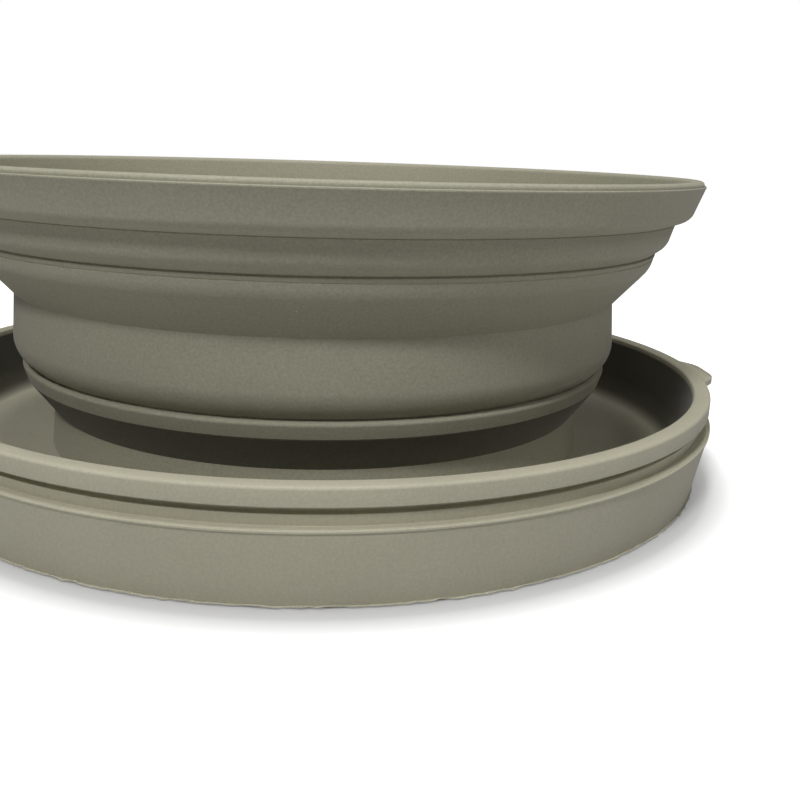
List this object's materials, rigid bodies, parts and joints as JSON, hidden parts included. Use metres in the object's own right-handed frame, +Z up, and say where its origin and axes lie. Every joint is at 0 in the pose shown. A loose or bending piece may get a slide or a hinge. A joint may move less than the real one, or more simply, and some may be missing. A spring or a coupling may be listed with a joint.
{
  "type": "collapsible travel bowl",
  "caption": "Soft silicone bowl of stiff rings joined by thin folds, which collapses flat and stands in a shallow round tray with a stepped lip and a pull tab.",
  "frame": {"origin": "centre of the tray's flat underside", "axes": "+Z up along the bowl's axis, +X towards the side with the pull tab"},
  "size_m": [0.1797, 0.176, 0.0638],
  "materials": {
    "silicone": "matte sage grey silicone with a very fine grain"
  },
  "bodies": {
    "tray": {"tray_shell": "silicone"},
    "tab": {"pull_tab": "silicone"},
    "base": {"bowl_base": "silicone", "base_fold": "silicone"},
    "wall": {"base_wall": "silicone", "main_fold": "silicone"},
    "lower_ring": {"lower_band": "silicone", "lower_step_fold": "silicone"},
    "middle_ring": {"middle_band": "silicone", "upper_step_fold": "silicone"},
    "rim_ring": {"rim_band": "silicone"}
  },
  "joints": [
    {"name": "tab_lift", "type": "hinge", "parent": "tray", "child": "tab", "pos_m": [0.08762, -0.00382, 0.0194], "axis": [-0.0436, -0.999, 0], "range_deg": [0, 60], "stiffness_Nm_per_rad": 0.01},
    {"name": "bowl_lift", "type": "slide", "parent": "tray", "child": "base", "axis": [0, 0, 1], "range_m": [0, 0.06]},
    {"name": "base_collapse", "type": "slide", "parent": "base", "child": "wall", "axis": [0, 0, -1], "range_m": [0, 0.008], "deforming": ["base_fold"]},
    {"name": "bowl_collapse", "type": "slide", "parent": "wall", "child": "lower_ring", "axis": [0, 0, -1], "range_m": [0, 0.016], "deforming": ["main_fold"]},
    {"name": "lower_step_collapse", "type": "slide", "parent": "lower_ring", "child": "middle_ring", "axis": [0, 0, -1], "range_m": [0, 0.004], "deforming": ["lower_step_fold"]},
    {"name": "upper_step_collapse", "type": "slide", "parent": "middle_ring", "child": "rim_ring", "axis": [0, 0, -1], "range_m": [0, 0.0032], "deforming": ["upper_step_fold"]}
  ],
  "couplings": [
    {"joint": "base_collapse", "follows": "bowl_collapse", "ratio": 0.5},
    {"joint": "lower_step_collapse", "follows": "bowl_collapse", "ratio": 0.25},
    {"joint": "upper_step_collapse", "follows": "bowl_collapse", "ratio": 0.2}
  ]
}
